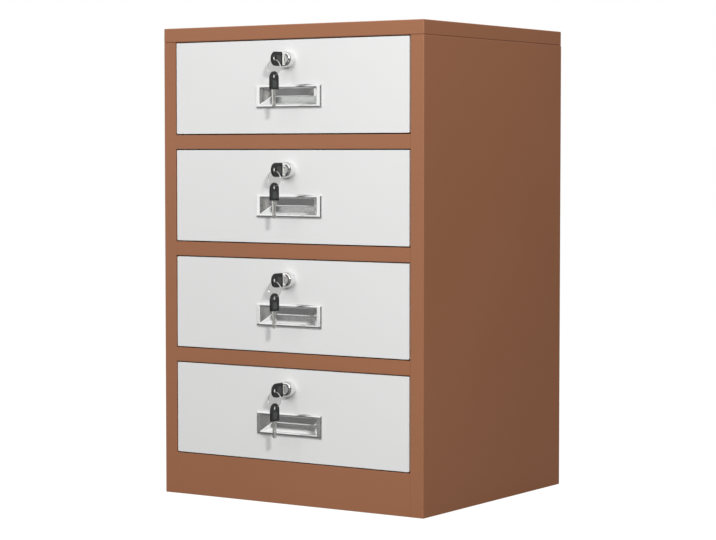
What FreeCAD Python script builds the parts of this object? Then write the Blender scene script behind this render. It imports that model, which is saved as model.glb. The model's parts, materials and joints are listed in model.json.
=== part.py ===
import FreeCAD, Part
import math
import os
import re
import Sketcher

# Four-drawer steel cabinet, in millimetres.
# Frame: X to the right, Y to the back, Z up. The origin is the middle of the footprint on the floor.
# Every drawer part is made in its drawer's own frame, whose origin is the middle of the lower edge
# of the drawer front, on its face, and every lock part in its lock's frame, on the lock's axis.

DRAWERS = 4

SIZES = {
    # Carcass
    "cabinet_width": 460.0,
    "cabinet_depth": 400.0,
    "carcass_sheet": 1.0,
    "cap_height": 21.0,
    "cap_return": 20.0,
    "plinth_height": 62.0,
    "rail_height": 21.0,
    "rail_depth": 20.0,
    "stile_width": 22.0,
    "side_flange": 16.0,
    "rear_flange": 25.0,
    "rear_recess": 3.0,
    "base_joggle": 18.0,
    "seam": 0.3,
    # Drawer fronts
    "front_height": 135.5,
    "front_gap": 1.5,
    "front_depth": 22.0,
    "front_return": 12.0,
    "drawer_sheet": 0.8,
    # Drawer trays
    "tray_rear_space": 32.0,
    "tray_head_space": 23.5,
    "tray_lift": 8.0,
    "tray_hem": 8.0,
    # Roller runners
    "runner_space": 12.5,
    "runner_lift": 30.0,
    "channel_sheet": 1.2,
    "channel_width": 10.2,
    "channel_lip": 4.0,
    "channel_top": 4.5,
    "channel_top_gap": 8.0,
    "channel_start": 4.0,
    "channel_tail": 12.0,
    "rail_sheet": 1.0,
    "rail_web_height": 19.0,
    "rail_flange": 9.0,
    "rail_inset": 7.2,
    "roller_radius": 9.0,
    "roller_width": 6.0,
    "roller_play": 1.0,
    "roller_seat": 0.05,
    "pin_radius": 2.0,
    "pin_play": 0.08,
    "pin_head_radius": 3.4,
    "pin_head_gap": 0.3,
    "front_pin_head": 1.0,
    "rear_pin_head": 0.5,
    "front_roller_gap": 1.0,
    "rear_roller_gap": 2.0,
    "front_roller_setback": 18.0,
    "rear_roller_inset": 12.0,
    "upright_width": 30.0,
    "upright_sheet": 1.2,
    "upright_front_gap": 3.0,
    "upright_rear_gap": 16.0,
    # Cup handle
    "handle_width": 116.0,
    "handle_height": 34.7,
    "handle_centre": 54.2,
    "handle_proud": 3.0,
    "handle_bevel": 2.2,
    "cup_width": 99.0,
    "cup_height": 23.4,
    "cup_depth": 19.0,
    "cup_back_width": 90.0,
    "cup_back_height": 10.2,
    "cup_wall": 0.9,
    "cup_play": 0.4,
    # Cam lock
    "lock_drop": 28.5,
    "lock_head_radius": 11.5,
    "lock_proud": 13.0,
    "lock_chamfer": 1.3,
    "barrel_radius": 9.0,
    "barrel_play": 0.15,
    "barrel_back": 0.6,
    "plug_radius": 6.5,
    "plug_play": 0.08,
    "plug_recess": 0.3,
    "stub_side": 7.0,
    "nut_across": 24.0,
    "nut_thickness": 3.0,
    "cam_thickness": 2.0,
    "cam_length": 40.0,
    "cam_hub_radius": 8.5,
    "cam_tip_width": 10.0,
    "cam_tip_corner": 2.0,
    "cam_play": 0.1,
    "cam_screw_across": 10.0,
    "cam_screw_height": 3.2,
    # Keys
    "bow_start": 18.0,
    "bow_length": 26.0,
    "bow_width": 20.5,
    "bow_thickness": 2.6,
    "bow_recess": 0.3,
    "bow_recess_start": 3.0,
    "bow_recess_length": 10.0,
    "bow_recess_width": 10.4,
    "bow_hole_radius": 2.5,
    "bow_hole_inset": 6.8,
    "blade_length": 24.6,
    "blade_width": 7.6,
    "blade_thickness": 2.0,
    "blade_shoulder": 9.2,
    "blade_tip": 2.0,
    "blade_tip_width": 3.6,
    "cut_pitch": 5.0,
    "cut_slope": 1.2,
    "cut_floor": 1.6,
    "cut_one": 1.6,
    "cut_two": 0.8,
    "cut_three": 1.3,
    "cut_four": 0.6,
    "keyway_play": 0.3,
    "ring_radius": 11.0,
    "ring_wire": 1.2,
    "ring_lift": 0.35,
    "spare_lift": 0.45,
    # Screws of the back panel
    "back_screw_radius": 1.9,
    "back_screw_play": 0.15,
    "back_screw_head_radius": 3.8,
    "back_screw_head": 1.7,
    "back_screw_length": 9.0,
    "back_screw_margin": 60.0,
    # How far a cutting shape runs past what it cuts
    "past": 1.0,
}

BACK_SCREWS_PER_SIDE = 3
KEY_CUTS = ("cut_one", "cut_two", "cut_three", "cut_four")
SKETCH_RADIUS = 10.0

doc = FreeCAD.newDocument("drawer_cabinet")


def fill_sheet():
    """Writes every driving size into a sheet, each in a cell with its name as alias."""
    sheet = doc.addObject("Spreadsheet::Sheet", "Sizes")
    for row, (name, value) in enumerate(SIZES.items(), start=1):
        sheet.set("A%d" % row, name)
        sheet.set("B%d" % row, str(value))
        sheet.setAlias("B%d" % row, name)
    doc.recompute()


def formula(text):
    """Turns a formula in size names into one that reads the sheet's cells."""
    def cell(match):
        word = match.group(0)
        return "Sizes." + word if word in SIZES else word
    return re.sub(r"[a-z_]+", cell, str(text))


# Places worked out from the driving sizes
HALF_WIDTH = "(cabinet_width / 2)"
HALF_DEPTH = "(cabinet_depth / 2)"
OPENING_HALF = "(cabinet_width / 2 - stile_width)"
FRONT_WIDTH = "(cabinet_width - 2 * stile_width - 2 * front_gap)"
DRAWER_PITCH = "(front_height + rail_height + 2 * front_gap)"
CAP_BOTTOM = "(plinth_height + %d * %s - rail_height)" % (DRAWERS, DRAWER_PITCH)
TRAY_HALF = "(%s - runner_space)" % OPENING_HALF
TRAY_DEPTH = "(cabinet_depth - front_depth - tray_rear_space)"
TRAY_HEIGHT = "(front_height - tray_head_space)"
RAIL_LENGTH = "(%s - drawer_sheet - rail_inset)" % TRAY_DEPTH
HANDLE_PLAY_WIDTH = "(cup_width + 2 * cup_wall + 2 * cup_play)"
HANDLE_PLAY_HEIGHT = "(cup_height + 2 * cup_wall + 2 * cup_play)"
LOCK_HEIGHT = "(front_height - lock_drop)"
CHANNEL_HEIGHT = "(2 * channel_sheet + 2 * roller_radius + roller_play)"
RAIL_FLANGE_UNDER = "(runner_lift + %s + roller_play)" % CHANNEL_HEIGHT
FRONT_ROLLER_Z = "(%s - roller_seat - roller_radius)" % RAIL_FLANGE_UNDER
REAR_ROLLER_Z = "(runner_lift + channel_sheet + roller_seat + roller_radius)"
FRONT_ROLLER_Y = "(front_depth + front_roller_setback)"
REAR_ROLLER_Y = "(front_depth + drawer_sheet + %s - rear_roller_inset)" % RAIL_LENGTH
CHANNEL_WEB = "(%s - channel_sheet)" % OPENING_HALF
RAIL_WEB_OUT = "(%s + rail_sheet)" % TRAY_HALF
FRONT_ROLLER_X = "(%s - front_roller_gap - roller_width / 2)" % CHANNEL_WEB
REAR_ROLLER_X = "(%s + rear_roller_gap + roller_width / 2)" % RAIL_WEB_OUT
BARREL_END = "(front_depth + drawer_sheet + barrel_back)"
CAM_FRONT = "(%s + cam_play)" % BARREL_END
CAM_BACK = "(%s + cam_thickness)" % CAM_FRONT
RING_CENTRE = "(ring_radius - ring_wire / 2 + bow_hole_radius - ring_lift)"
RING_BOTTOM = "(%s + ring_radius)" % RING_CENTRE
SPARE_HOLE = "(%s - ring_wire / 2 - spare_lift + bow_hole_radius)" % RING_BOTTOM
HOLE_FORWARD = "(bow_start + bow_length - bow_hole_inset)"


def drawer_bottom(number):
    """Height of the lower edge of a drawer front; drawer 1 is the top one."""
    return "(plinth_height + front_gap + %d * %s)" % (DRAWERS - number, DRAWER_PITCH)


def place(item, x="0", y="0", z="0"):
    """Ties an object's position to formulas."""
    item.setExpression("Placement.Base.x", formula(x))
    item.setExpression("Placement.Base.y", formula(y))
    item.setExpression("Placement.Base.z", formula(z))
    return item


def block(low, sizes):
    """A box from its lowest corner and its three sizes."""
    box = doc.addObject("Part::Box", "Block")
    for side, value in zip(("Length", "Width", "Height"), sizes):
        box.setExpression(side, formula(value))
    return place(box, *low)


def rod(radius, length, at, axis):
    """A cylinder that starts at a point and runs along X, Y or Z."""
    turns = {
        "X": FreeCAD.Rotation(FreeCAD.Vector(0, 1, 0), 90),
        "Y": FreeCAD.Rotation(FreeCAD.Vector(1, 0, 0), -90),
        "Z": FreeCAD.Rotation(),
    }
    cylinder = doc.addObject("Part::Cylinder", "Rod")
    cylinder.setExpression("Radius", formula(radius))
    cylinder.setExpression("Height", formula(length))
    cylinder.Placement.Rotation = turns[axis]
    return place(cylinder, *at)


def hexagon(across_flats, length, at):
    """A six-sided prism for a nut or a screw's head, along Y."""
    prism = doc.addObject("Part::Prism", "Hexagon")
    prism.Polygon = 6
    prism.setExpression("Circumradius", formula("%s / 2 / cos(30)" % across_flats))
    prism.setExpression("Height", formula(length))
    prism.Placement.Rotation = FreeCAD.Rotation(FreeCAD.Vector(1, 0, 0), -90)
    return place(prism, *at)


def frustum(front_at, front, back_at, back):
    """A block with flat slanting sides between an upright rectangle in front and one behind it.
    A rectangle is its left, right, lower and upper limit."""
    block_between = doc.addObject("Part::Wedge", "Frustum")
    block_between.setExpression("Ymin", formula(front_at))
    block_between.setExpression("Ymax", formula(back_at))
    for prefixes, rectangle_limits in ((("X", "Z"), front), (("X2", "Z2"), back)):
        left, right, low, high = rectangle_limits
        block_between.setExpression(prefixes[0] + "min", formula(left))
        block_between.setExpression(prefixes[0] + "max", formula(right))
        block_between.setExpression(prefixes[1] + "min", formula(low))
        block_between.setExpression(prefixes[1] + "max", formula(high))
    return block_between


def join(items):
    fuse = doc.addObject("Part::MultiFuse", "Joined")
    fuse.Shapes = items
    fuse.Refine = True
    return fuse


def cut(base, tools):
    """Takes one or more shapes away from another."""
    result = doc.addObject("Part::Cut", "Cut")
    result.Base = base
    result.Tool = tools[0] if len(tools) == 1 else join(tools)
    return result


def mirrored(item):
    """The same shape on the other side of the cabinet's middle plane."""
    mirror = doc.addObject("Part::Mirroring", "Mirrored")
    mirror.Source = item
    mirror.Normal = FreeCAD.Vector(1, 0, 0)
    return mirror


def group(items):
    """Separate solids that share one node."""
    compound = doc.addObject("Part::Compound", "Group")
    compound.Links = items
    return compound


def origin_item(body, role):
    for item in body.Origin.OriginFeatures:
        if item.Role == role:
            return item
    raise ValueError("no origin item " + role)


def new_body():
    return doc.addObject("PartDesign::Body", "Body")


def outline(body, plane, corners, offset="0"):
    """A closed outline on an origin plane; each corner is two formulas."""
    sketch = body.newObject("Sketcher::SketchObject", "Outline")
    sketch.AttachmentSupport = (origin_item(body, plane), [""])
    sketch.MapMode = "FlatFace"
    sketch.setExpression("AttachmentOffset.Base.z", formula(offset))
    count = len(corners)
    turn = 2 * math.pi / count
    rough = []
    for i in range(count):
        rough.append(FreeCAD.Vector(math.cos(i * turn), math.sin(i * turn), 0) * SKETCH_RADIUS)
    for i in range(count):
        sketch.addGeometry(Part.LineSegment(rough[i], rough[(i + 1) % count]))
    for i in range(count):
        sketch.addConstraint(Sketcher.Constraint("Coincident", i, 2, (i + 1) % count, 1))
    for i, corner in enumerate(corners):
        for direction, value in zip(("DistanceX", "DistanceY"), corner):
            start = rough[i].x if direction == "DistanceX" else rough[i].y
            index = sketch.addConstraint(Sketcher.Constraint(direction, -1, 1, i, 1, start))
            sketch.setExpression("Constraints[%d]" % index, formula(value))
    doc.recompute()
    return sketch


def rectangle(body, plane, left, right, bottom, top, offset="0"):
    corners = [(left, bottom), (right, bottom), (right, top), (left, top)]
    return outline(body, plane, corners, offset)


def pad(body, sketch, length):
    """Thickens an outline along its plane's normal."""
    feature = body.newObject("PartDesign::Pad", "Pad")
    feature.Profile = sketch
    feature.setExpression("Length", formula(length))
    doc.recompute()
    return feature


def revolve(body, sketch, axis):
    feature = body.newObject("PartDesign::Revolution", "Revolution")
    feature.Profile = sketch
    feature.ReferenceAxis = (origin_item(body, axis), [""])
    feature.Angle = 360
    doc.recompute()
    return feature


def named(item, label):
    """Names a finished sub-part; the name is also its file's."""
    item.Label = label
    parts.append(item)
    return item


parts = []


def side_panel(label, side):
    """One sheet: stile folded at the front, web, hemmed rear edge with an inward flange."""
    body = new_body()

    def x(text):
        return "%d * (%s)" % (side, text)

    stile_in = OPENING_HALF
    back = HALF_DEPTH
    front = "-%s" % HALF_DEPTH
    corners = [
        (x(stile_in), front + " + rail_depth"),
        (x(stile_in), front),
        (x(HALF_WIDTH), front),
        (x(HALF_WIDTH), back),
        (x(HALF_WIDTH + " - 2 * carcass_sheet"), back),
        (x(HALF_WIDTH + " - 2 * carcass_sheet"), back + " - rear_recess"),
        (x(HALF_WIDTH + " - rear_flange"), back + " - rear_recess"),
        (x(HALF_WIDTH + " - rear_flange"), back + " - rear_recess - carcass_sheet"),
        (x(HALF_WIDTH + " - carcass_sheet"), back + " - rear_recess - carcass_sheet"),
        (x(HALF_WIDTH + " - carcass_sheet"), front + " + carcass_sheet"),
        (x(stile_in + " + carcass_sheet"), front + " + carcass_sheet"),
        (x(stile_in + " + carcass_sheet"), front + " + rail_depth"),
    ]
    pad(body, outline(body, "XY_Plane", corners), CAP_BOTTOM)
    for height in ("0", CAP_BOTTOM + " - carcass_sheet"):
        flange = [
            (x(HALF_WIDTH + " - side_flange"), front + " + rail_depth + seam"),
            (x(HALF_WIDTH + " - carcass_sheet / 2"), front + " + rail_depth + seam"),
            (x(HALF_WIDTH + " - carcass_sheet / 2"), back + " - rear_recess - carcass_sheet / 2"),
            (x(HALF_WIDTH + " - side_flange"), back + " - rear_recess - carcass_sheet / 2"),
        ]
        pad(body, outline(body, "XY_Plane", flange, height), "carcass_sheet")
    holes = [screw_rod(side, index, "back_screw_radius + back_screw_play") for index in screw_rows()]
    return named(cut(body, holes), label)


def screw_rows():
    return range(BACK_SCREWS_PER_SIDE)


def screw_place(side, index):
    """Where a screw of the back panel meets the panel's rear face."""
    step = "(%s - 2 * back_screw_margin) / %d" % (CAP_BOTTOM, BACK_SCREWS_PER_SIDE - 1)
    x = "%d * (%s - (rear_flange + 2 * carcass_sheet) / 2)" % (side, HALF_WIDTH)
    y = "%s - rear_recess + carcass_sheet" % HALF_DEPTH
    z = "back_screw_margin + %d * %s" % (index, step)
    return x, y, z


def screw_rod(side, index, radius):
    x, y, z = screw_place(side, index)
    return rod(radius, "back_screw_length", (x, y + " - back_screw_length", z), "Y")


def back_screws():
    """Pan-head screws that hold the back panel to the flanges of the sides."""
    screws = []
    for side in (-1, 1):
        for index in screw_rows():
            head = rod("back_screw_head_radius", "back_screw_head", screw_place(side, index), "Y")
            screws.append(join([screw_rod(side, index, "back_screw_radius"), head]))
    return named(group(screws), "back_screws")


def back_panel():
    half = HALF_WIDTH + " - 2 * carcass_sheet - seam"
    low = ("-(%s)" % half, HALF_DEPTH + " - rear_recess", "seam")
    sheet = block(low, ("2 * (%s)" % half, "carcass_sheet", CAP_BOTTOM + " - 2 * seam"))
    holes = []
    for side in (-1, 1):
        for index in screw_rows():
            holes.append(screw_rod(side, index, "back_screw_radius + back_screw_play"))
    return named(cut(sheet, holes), "back_panel")


def top_cap():
    """Folded lid: a pan turned upside down with its lower edges returned inwards."""
    skin = "carcass_sheet"
    outer = block(
        ("-%s" % HALF_WIDTH, "-%s" % HALF_DEPTH, CAP_BOTTOM),
        ("cabinet_width", "cabinet_depth", "cap_height"),
    )
    hollow = block(
        ("-%s + %s" % (HALF_WIDTH, skin), "-%s + %s" % (HALF_DEPTH, skin), CAP_BOTTOM + " + " + skin),
        ("cabinet_width - 2 * carcass_sheet", "cabinet_depth - 2 * carcass_sheet",
         "cap_height - 2 * carcass_sheet"),
    )
    mouth = block(
        ("-%s + cap_return" % HALF_WIDTH, "-%s + cap_return" % HALF_DEPTH, CAP_BOTTOM + " - past"),
        ("cabinet_width - 2 * cap_return", "cabinet_depth - 2 * cap_return", "cap_height / 2"),
    )
    return named(cut(outer, [hollow, mouth]), "top_cap")


def channel_between_stiles(label, low, height):
    """Folded rail between the stiles: front face with a flange back along its top and bottom."""
    body = new_body()
    front = "-%s" % HALF_DEPTH
    top = "(%s) + %s" % (low, height)
    corners = [
        (front, low),
        (front + " + rail_depth", low),
        (front + " + rail_depth", "(%s) + carcass_sheet" % low),
        (front + " + carcass_sheet", "(%s) + carcass_sheet" % low),
        (front + " + carcass_sheet", "%s - carcass_sheet" % top),
        (front + " + rail_depth", "%s - carcass_sheet" % top),
        (front + " + rail_depth", top),
        (front, top),
    ]
    sketch = outline(body, "YZ_Plane", corners, "-(%s)" % OPENING_HALF)
    pad(body, sketch, "2 * %s" % OPENING_HALF)
    return named(body, label)


def base_pan():
    """Floor sheet with stepped side edges that lie on the bottom flanges of the sides."""
    body = new_body()
    step = "(%s - side_flange - seam)" % HALF_WIDTH
    edge = "(%s - carcass_sheet - seam)" % HALF_WIDTH
    skin = "carcass_sheet"
    right = [
        (step, "0"),
        (step, skin),
        (edge, skin),
        (edge, "2 * " + skin),
        (step + " - " + skin, "2 * " + skin),
        (step + " - " + skin, skin),
    ]
    left = [("-(%s)" % px, pz) for px, pz in reversed(right)]
    front = "%s - rail_depth - seam" % HALF_DEPTH
    length = "cabinet_depth - rail_depth - rear_recess - carcass_sheet - 2 * seam"
    back = "-(%s - rear_recess - carcass_sheet - seam)" % HALF_DEPTH
    pad(body, outline(body, "XZ_Plane", right + left, back), length)
    return named(body, "base_pan")


def slide_uprights():
    """Four folded posts that carry the runners level with the stiles."""
    posts = []
    web = OPENING_HALF
    deep = "(stile_width - carcass_sheet)"
    places = (
        "-%s + rail_depth + upright_front_gap" % HALF_DEPTH,
        "%s - upright_rear_gap - upright_width" % HALF_DEPTH,
    )
    for front in places:
        body = new_body()
        rear = "(%s) + upright_width" % front
        corners = [
            (web, front),
            (web + " + " + deep, front),
            (web + " + " + deep, "(%s) + upright_sheet" % front),
            (web + " + upright_sheet", "(%s) + upright_sheet" % front),
            (web + " + upright_sheet", rear + " - upright_sheet"),
            (web + " + " + deep, rear + " - upright_sheet"),
            (web + " + " + deep, rear),
            (web, rear),
        ]
        sketch = outline(body, "XY_Plane", corners, "2 * carcass_sheet")
        pad(body, sketch, CAP_BOTTOM + " - 3 * carcass_sheet")
        posts += [body, mirrored(body)]
    return named(group(posts), "slide_uprights")


def roller_pin(web, direction, gap, head, at):
    """Rivet that stands out from a web to carry a roller; its direction is 1 outwards, -1 inwards."""
    reach = "(%s + roller_width + pin_head_gap)" % gap
    if direction > 0:
        shank_from = web
        head_from = "%s + %s" % (web, reach)
    else:
        shank_from = "%s - %s" % (web, reach)
        head_from = "%s - %s - %s" % (web, reach, head)
    shank = rod("pin_radius", reach, (shank_from,) + at, "X")
    return join([shank, rod("pin_head_radius", head, (head_from,) + at, "X")])


def cabinet_rail(number):
    """Fixed runner: a channel for the drawer's roller, with the front roller's pin riveted in."""
    body = new_body()
    web = CHANNEL_WEB
    out = OPENING_HALF
    lip = "(%s - channel_width)" % web
    low = "runner_lift"
    top = "runner_lift + %s" % CHANNEL_HEIGHT
    start = "(front_depth + channel_start)"
    clear = "(%s + roller_radius + channel_top_gap)" % FRONT_ROLLER_Y
    end = "(cabinet_depth - channel_tail)"
    channel = [
        (out, low),
        (out, top),
        (web, top),
        (web, low + " + channel_sheet"),
        (lip + " + channel_sheet", low + " + channel_sheet"),
        (lip + " + channel_sheet", low + " + channel_lip"),
        (lip, low + " + channel_lip"),
        (lip, low),
    ]
    pad(body, outline(body, "XZ_Plane", channel, "-" + end), "%s - %s" % (end, start))
    roof = rectangle(body, "XZ_Plane", web + " - channel_top", web, top + " - channel_sheet", top, "-" + end)
    pad(body, roof, "%s - %s" % (end, clear))
    pin = roller_pin(web, -1, "front_roller_gap", "front_pin_head", (FRONT_ROLLER_Y, FRONT_ROLLER_Z))
    rail = place(join([body, pin]), "0", "-" + HALF_DEPTH, drawer_bottom(number))
    return [rail, mirrored(rail)]


def roller(front):
    """Nylon roller, turned about its pin."""
    body = new_body()
    half = "roller_width / 2"
    section = rectangle(body, "XY_Plane", "-" + half, half, "pin_radius + pin_play", "roller_radius")
    revolve(body, section, "X_Axis")
    if front:
        return place(body, FRONT_ROLLER_X, FRONT_ROLLER_Y, FRONT_ROLLER_Z)
    return place(body, REAR_ROLLER_X, REAR_ROLLER_Y, REAR_ROLLER_Z)


def roller_pair(label, number, front):
    right = roller(front)
    pair = group([right, mirrored(right)])
    place(pair, "0", "-" + HALF_DEPTH, drawer_bottom(number))
    return named(pair, label)


def drawer_rails(number):
    """Moving runner: an angle on each side of the tray, with the rear roller's pin riveted in."""
    body = new_body()
    web = TRAY_HALF
    out = RAIL_WEB_OUT
    under = RAIL_FLANGE_UNDER
    top = "(%s + rail_sheet)" % under
    corners = [
        (web, top + " - rail_web_height"),
        (out, top + " - rail_web_height"),
        (out, under),
        (web + " + rail_flange", under),
        (web + " + rail_flange", top),
        (web, top),
    ]
    start = "(front_depth + drawer_sheet)"
    sketch = outline(body, "XZ_Plane", corners, "-(%s + %s)" % (start, RAIL_LENGTH))
    pad(body, sketch, RAIL_LENGTH)
    pin = roller_pin(out, 1, "rear_roller_gap", "rear_pin_head", (REAR_ROLLER_Y, REAR_ROLLER_Z))
    right = join([body, pin])
    pair = group([right, mirrored(right)])
    place(pair, "0", "-" + HALF_DEPTH, drawer_bottom(number))
    return named(pair, "drawer_rails_%d" % number)


def drawer_front(number):
    """Folded front: face with four returned edges, cut out for the handle and the lock."""
    half = FRONT_WIDTH + " / 2"
    skin = "drawer_sheet"
    outer = block(("-" + half, "0", "0"), (FRONT_WIDTH, "front_depth", "front_height"))
    hollow = block(
        ("-%s + %s" % (half, skin), skin, skin),
        (FRONT_WIDTH + " - 2 * drawer_sheet", "front_depth - 2 * drawer_sheet",
         "front_height - 2 * drawer_sheet"),
    )
    mouth = block(
        ("-%s + front_return" % half, "front_depth / 2", "front_return"),
        (FRONT_WIDTH + " - 2 * front_return", "front_depth", "front_height - 2 * front_return"),
    )
    handle_hole = block(
        ("-%s / 2" % HANDLE_PLAY_WIDTH, "-past", "handle_centre - %s / 2" % HANDLE_PLAY_HEIGHT),
        (HANDLE_PLAY_WIDTH, "front_depth / 2", HANDLE_PLAY_HEIGHT),
    )
    lock_hole = rod("barrel_radius + barrel_play", "front_depth / 2", ("0", "-past", LOCK_HEIGHT), "Y")
    front = cut(outer, [hollow, mouth, handle_hole, lock_hole])
    place(front, "0", "-" + HALF_DEPTH, drawer_bottom(number))
    return named(front, "drawer_front_%d" % number)


def drawer_tray(number):
    """Folded tray with hemmed upper edges and a hole for the lock's barrel."""
    skin = "drawer_sheet"
    width = "(2 * %s)" % TRAY_HALF
    outer = block(
        ("-" + TRAY_HALF, "front_depth", "tray_lift"),
        (width, TRAY_DEPTH, TRAY_HEIGHT),
    )
    hollow = block(
        ("-%s + %s" % (TRAY_HALF, skin), "front_depth + " + skin, "tray_lift + " + skin),
        (width + " - 2 * drawer_sheet", TRAY_DEPTH + " - 2 * drawer_sheet", TRAY_HEIGHT),
    )
    hole_at = ("0", "front_depth - past", LOCK_HEIGHT)
    lock_hole = rod("barrel_radius + barrel_play", "drawer_sheet + 2 * past", hole_at, "Y")
    hems = []
    hem_z = "tray_lift + %s - tray_hem" % TRAY_HEIGHT
    for x in ("-%s + drawer_sheet" % TRAY_HALF, "%s - 2 * drawer_sheet" % TRAY_HALF):
        side_hem = (x, "front_depth + drawer_sheet / 2", hem_z)
        hems.append(block(side_hem, (skin, TRAY_DEPTH + " - drawer_sheet", "tray_hem")))
    rear_hem = ("-%s + drawer_sheet" % TRAY_HALF, "front_depth + %s - 2 * drawer_sheet" % TRAY_DEPTH, hem_z)
    hems.append(block(rear_hem, (width + " - 2 * drawer_sheet", skin, "tray_hem")))
    tray = join([cut(outer, [hollow, lock_hole])] + hems)
    place(tray, "0", "-" + HALF_DEPTH, drawer_bottom(number))
    return named(tray, "drawer_tray_%d" % number)


def handle_rectangle(width, height, grow):
    """Limits of a rectangle round the handle's middle, grown all round."""
    wide = "(%s / 2 + %s)" % (width, grow)
    tall = "(%s / 2 + %s)" % (height, grow)
    return "-" + wide, wide, "-" + tall, tall


def cup_shape(front_at, back_at, grow):
    """The cup's form: level on top, its floor sloping up to a shorter and narrower back."""
    top = "(cup_height / 2 + %s)" % grow
    wide = "(cup_back_width / 2 + %s)" % grow
    back = ("-" + wide, wide, "cup_height / 2 - cup_back_height - %s" % grow, top)
    return frustum(front_at, handle_rectangle("cup_width", "cup_height", grow), back_at, back)


def handle(number):
    """Pressed cup handle: bevelled rim round a cup for the fingers."""
    full = handle_rectangle("handle_width", "handle_height", "0")
    face = handle_rectangle("handle_width", "handle_height", "(-handle_bevel)")
    bevel_end = "handle_bevel - handle_proud"
    rim = [frustum("-handle_proud", face, bevel_end, full), frustum(bevel_end, full, "0", full)]
    outside = cup_shape("0", "cup_depth + cup_wall", "cup_wall")
    inside = cup_shape("-handle_proud", "cup_depth", "0")
    cup = cut(join(rim + [outside]), [inside])
    place(cup, "0", "-" + HALF_DEPTH, drawer_bottom(number) + " + handle_centre")
    return named(cup, "handle_%d" % number)


def at_lock(item, number):
    return place(item, "0", "-" + HALF_DEPTH, drawer_bottom(number) + " + " + LOCK_HEIGHT)


def lock_case(number):
    """Turned lock body with its fixing nut behind the front sheet."""
    body = new_body()
    bore = "(plug_radius + plug_play)"
    corners = [
        (bore, "-lock_proud"),
        ("lock_head_radius - lock_chamfer", "-lock_proud"),
        ("lock_head_radius", "-lock_proud + lock_chamfer"),
        ("lock_head_radius", "0"),
        ("barrel_radius", "0"),
        ("barrel_radius", BARREL_END),
        (bore, BARREL_END),
    ]
    revolve(body, outline(body, "XY_Plane", corners), "Y_Axis")
    hole = rod("barrel_radius + plug_play", "drawer_sheet + nut_thickness + past", ("0", "0", "0"), "Y")
    nut = cut(hexagon("nut_across", "nut_thickness", ("0", "drawer_sheet", "0")), [hole])
    return named(at_lock(group([body, nut]), number), "lock_case_%d" % number)


def square_bar(side, front, length):
    """A square bar along the lock's axis."""
    return block(("-%s / 2" % side, front, "-%s / 2" % side), (side, length, side))


def lock_plug(number):
    """Turning core with a keyway in front and a square stub behind that drives the cam."""
    core_from = "(plug_recess - lock_proud)"
    core = rod("plug_radius", "%s - %s" % (BARREL_END, core_from), ("0", core_from, "0"), "Y")
    stub = square_bar("stub_side", BARREL_END, "%s - %s" % (CAM_BACK, BARREL_END))
    keyway_width = "(blade_thickness + 2 * keyway_play)"
    keyway_height = "(blade_width + 2 * keyway_play)"
    keyway_from = "-lock_proud - past"
    keyway_to = "(blade_length - bow_start + keyway_play)"
    keyway = block(
        ("-%s / 2" % keyway_width, keyway_from, "-%s / 2" % keyway_height),
        (keyway_width, "%s + lock_proud + past" % keyway_to, keyway_height),
    )
    return named(at_lock(cut(join([core, stub]), [keyway]), number), "lock_plug_%d" % number)


def lock_cam(number):
    """Flat cam that points sideways when unlocked, with the hexagon-headed screw that holds it."""
    body = new_body()
    tip = "(cam_tip_width / 2)"
    arm = [
        ("-cam_length", "-%s + cam_tip_corner" % tip),
        ("-cam_length + cam_tip_corner", "-" + tip),
        ("0", "-cam_hub_radius"),
        ("0", "cam_hub_radius"),
        ("-cam_length + cam_tip_corner", tip),
        ("-cam_length", tip + " - cam_tip_corner"),
    ]
    pad(body, outline(body, "XZ_Plane", arm, "-" + CAM_BACK), "cam_thickness")
    hub = rod("cam_hub_radius", "cam_thickness", ("0", CAM_FRONT, "0"), "Y")
    hole = square_bar("(stub_side + 2 * plug_play)", CAM_FRONT + " - past", "cam_thickness + 2 * past")
    screw = hexagon("cam_screw_across", "cam_screw_height", ("0", CAM_BACK, "0"))
    plate = cut(join([body, hub]), [hole])
    return named(at_lock(group([plate, screw]), number), "lock_cam_%d" % number)


def key_bow():
    """Plastic grip: square at the lock, round at the far end, with a hole for the ring."""
    half_w = "bow_width / 2"
    half_t = "bow_thickness / 2"
    middle = "(bow_start + bow_length - bow_width / 2)"
    square = block(
        ("-" + half_t, "-" + middle, "-" + half_w),
        ("bow_thickness", "bow_length - bow_width / 2", "bow_width"),
    )
    round_end = rod(half_w, "bow_thickness", ("-" + half_t, "-" + middle, "0"), "X")
    hole_at = ("-%s - past" % half_t, "-" + HOLE_FORWARD, "0")
    cutters = [rod("bow_hole_radius", "bow_thickness + 2 * past", hole_at, "X")]
    recess_y = "-bow_start - bow_recess_start - bow_recess_length"
    for x in ("-%s - past" % half_t, half_t + " - bow_recess"):
        recess = block((x, recess_y, "-bow_recess_width / 2"),
                       ("past + bow_recess", "bow_recess_length", "bow_recess_width"))
        cutters.append(recess)
    return cut(join([square, round_end]), cutters)


def key_blade():
    """Flat steel blade with a shoulder at the bow and one cut for each wafer of the lock."""
    body = new_body()
    tip = "blade_length - bow_start"
    low = "-blade_width / 2"
    high = "blade_width / 2"
    face = "-lock_proud"
    corners = [
        ("-bow_start", "-blade_shoulder / 2"),
        (face, "-blade_shoulder / 2"),
        (face, low),
        (tip + " - blade_tip", low),
        (tip, "-blade_tip_width / 2"),
        (tip, "blade_tip_width / 2"),
        (tip + " - blade_tip", high),
    ]
    for index, depth in enumerate(KEY_CUTS):
        start = "%s - blade_tip - cut_slope - %d * cut_pitch" % (tip, index)
        floor = "%s - %s" % (high, depth)
        corners += [
            (start, high),
            (start + " - cut_slope", floor),
            (start + " - cut_slope - cut_floor", floor),
            (start + " - 2 * cut_slope - cut_floor", high),
        ]
    corners += [
        (face, high),
        (face, "blade_shoulder / 2"),
        ("-bow_start", "blade_shoulder / 2"),
    ]
    pad(body, outline(body, "YZ_Plane", corners, "-blade_thickness / 2"), "blade_thickness")
    return body


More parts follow.
